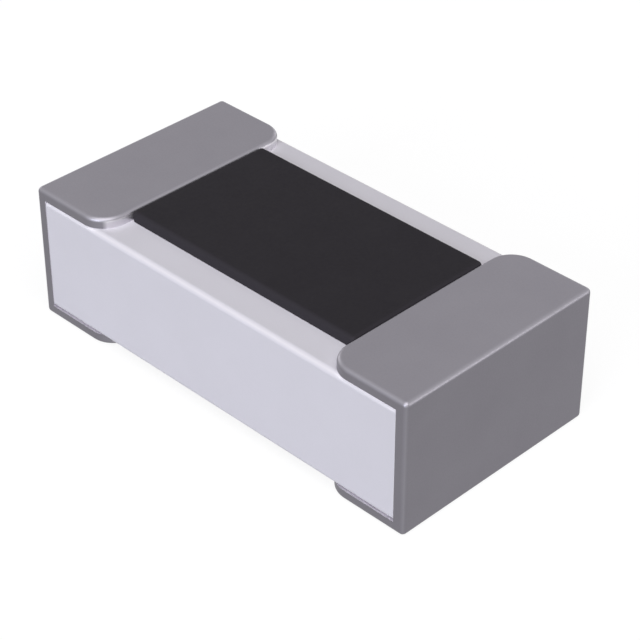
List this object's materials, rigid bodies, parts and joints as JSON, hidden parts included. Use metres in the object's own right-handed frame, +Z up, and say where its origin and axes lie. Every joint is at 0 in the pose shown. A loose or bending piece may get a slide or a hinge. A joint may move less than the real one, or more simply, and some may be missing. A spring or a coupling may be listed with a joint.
{
  "type": "smd chip resistor",
  "caption": "Thick-film chip resistor: white ceramic block, black coat on top, metal terminations that wrap both ends.",
  "frame": {"origin": "middle of the chip, 0.2385 mm above the plane of the two solder pads", "axes": "+X along the chip, +Y across it, +Z up, away from the circuit board"},
  "size_m": [0.0016, 0.0008, 0.0004],
  "materials": {
    "alumina": "matte",
    "tin": "satin",
    "nickel": "satin",
    "end_metal": "matte",
    "printed_silver": "matte",
    "resistor_film": "matte",
    "first_glass": "gloss",
    "black_coat": "satin"
  },
  "bodies": {
    "root": {"ceramic_substrate": "alumina", "top_electrode_left": "printed_silver", "top_electrode_right": "printed_silver", "bottom_electrode_left": "printed_silver", "bottom_electrode_right": "printed_silver", "end_electrode_left": "end_metal", "end_electrode_right": "end_metal", "nickel_barrier_left": "nickel", "nickel_barrier_right": "nickel", "tin_plating_left": "tin", "tin_plating_right": "tin", "resistive_element": "resistor_film", "glass_coat": "first_glass", "overcoat": "black_coat"}
  },
  "joints": []
}
